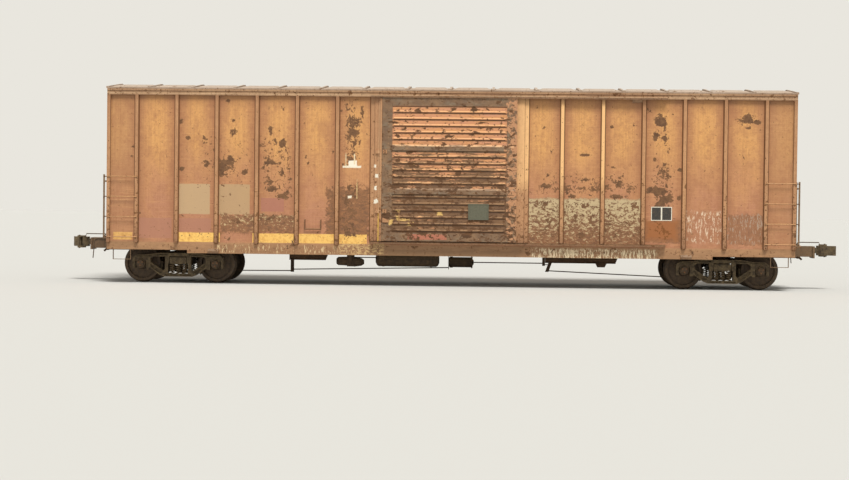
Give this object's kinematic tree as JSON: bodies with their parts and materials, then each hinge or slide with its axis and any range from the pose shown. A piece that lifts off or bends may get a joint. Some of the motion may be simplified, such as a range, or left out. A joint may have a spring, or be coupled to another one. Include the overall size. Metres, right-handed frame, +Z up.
{
  "type": "railroad boxcar",
  "caption": "Long steel boxcar with outside posts, ribbed sliding doors on both sides, corrugated ends and a pressed panel roof, on two sprung trucks with couplers",
  "frame": {"origin": "floor level under the middle of the car, where the wheel flanges stand", "axes": "+X along the car, to the right in the picture; the pictured side faces -Y; +Z up"},
  "size_m": [17.86, 3.25, 4.6223],
  "materials": {
    "body_paint": "faded orange-tan paint with rust",
    "door_paint": "dark worn paint with rust",
    "roof_steel": "weathered sheet steel",
    "underframe_steel": "rusty dark paint",
    "fittings_paint": "faded paint on bar steel",
    "cast_steel": "dusty brown casting",
    "spring_steel": "dull rust",
    "wheel_steel": "rust brown, treads worn",
    "floor_wood": "bare worn planks"
  },
  "bodies": {
    "carbody": {"side_wall_near": "body_paint", "side_wall_far": "body_paint", "side_posts_near": "body_paint", "side_posts_far": "body_paint", "side_sills": "body_paint", "top_chords": "body_paint", "lower_door_tracks": "door_paint", "upper_door_tracks": "door_paint", "end_wall_right": "body_paint", "end_wall_left": "body_paint", "end_sills": "body_paint", "roof": "roof_steel", "centre_sill": "underframe_steel", "body_bolsters": "underframe_steel", "crossbearers": "underframe_steel", "floor_stringers": "underframe_steel", "floor": "floor_wood", "couplers": "cast_steel", "knuckles": "cast_steel", "uncoupling_levers": "fittings_paint", "side_ladders": "fittings_paint", "end_ladders": "fittings_paint", "sill_steps": "fittings_paint", "sill_reinforcements": "body_paint", "jacking_pads": "body_paint", "door_thresholds": "underframe_steel", "brake_lever_carriers": "underframe_steel", "brake_levers": "underframe_steel", "brake_rods": "underframe_steel", "brake_cylinder": "underframe_steel", "air_reservoir": "underframe_steel", "control_valve": "underframe_steel", "brake_pipe": "underframe_steel", "hand_brake": "fittings_paint", "hand_brake_wheel": "fittings_paint", "end_platforms": "fittings_paint"},
    "near_door": {"door_near": "door_paint", "door_fittings_near": "fittings_paint"},
    "far_door": {"door_far": "door_paint", "door_fittings_far": "fittings_paint"},
    "right_truck": {"truck_right_side_frames": "cast_steel", "truck_right_bolster": "cast_steel", "truck_right_springs": "spring_steel", "truck_right_bearings": "spring_steel", "truck_right_brake_beams": "cast_steel"},
    "left_truck": {"truck_left_side_frames": "cast_steel", "truck_left_bolster": "cast_steel", "truck_left_springs": "spring_steel", "truck_left_bearings": "spring_steel", "truck_left_brake_beams": "cast_steel"},
    "right_inner_wheelset": {"axle_right_inner": "wheel_steel", "wheels_right_inner": "wheel_steel"},
    "right_outer_wheelset": {"axle_right_outer": "wheel_steel", "wheels_right_outer": "wheel_steel"},
    "left_inner_wheelset": {"axle_left_inner": "wheel_steel", "wheels_left_inner": "wheel_steel"},
    "left_outer_wheelset": {"axle_left_outer": "wheel_steel", "wheels_left_outer": "wheel_steel"}
  },
  "joints": [
    {"name": "near_door_slide", "type": "slide", "parent": "carbody", "child": "near_door", "axis": [1, 0, 0], "range_m": [0, 3.1]},
    {"name": "far_door_slide", "type": "slide", "parent": "carbody", "child": "far_door", "axis": [-1, 0, 0], "range_m": [0, 3.1]},
    {"name": "right_truck_swivel", "type": "hinge", "parent": "carbody", "child": "right_truck", "pos_m": [6.223, 0, 0.66], "axis": [0, 0, 1], "range_deg": [-8, 8]},
    {"name": "left_truck_swivel", "type": "hinge", "parent": "carbody", "child": "left_truck", "pos_m": [-6.223, 0, 0.66], "axis": [0, 0, 1], "range_deg": [-8, 8]},
    {"name": "right_inner_wheelset_spin", "type": "hinge", "parent": "right_truck", "child": "right_inner_wheelset", "pos_m": [5.3595, 0, 0.4445], "axis": [0, 1, 0], "continuous": true},
    {"name": "right_outer_wheelset_spin", "type": "hinge", "parent": "right_truck", "child": "right_outer_wheelset", "pos_m": [7.0865, 0, 0.4445], "axis": [0, 1, 0], "continuous": true},
    {"name": "left_inner_wheelset_spin", "type": "hinge", "parent": "left_truck", "child": "left_inner_wheelset", "pos_m": [-5.3595, 0, 0.4445], "axis": [0, 1, 0], "continuous": true},
    {"name": "left_outer_wheelset_spin", "type": "hinge", "parent": "left_truck", "child": "left_outer_wheelset", "pos_m": [-7.0865, 0, 0.4445], "axis": [0, 1, 0], "continuous": true}
  ]
}
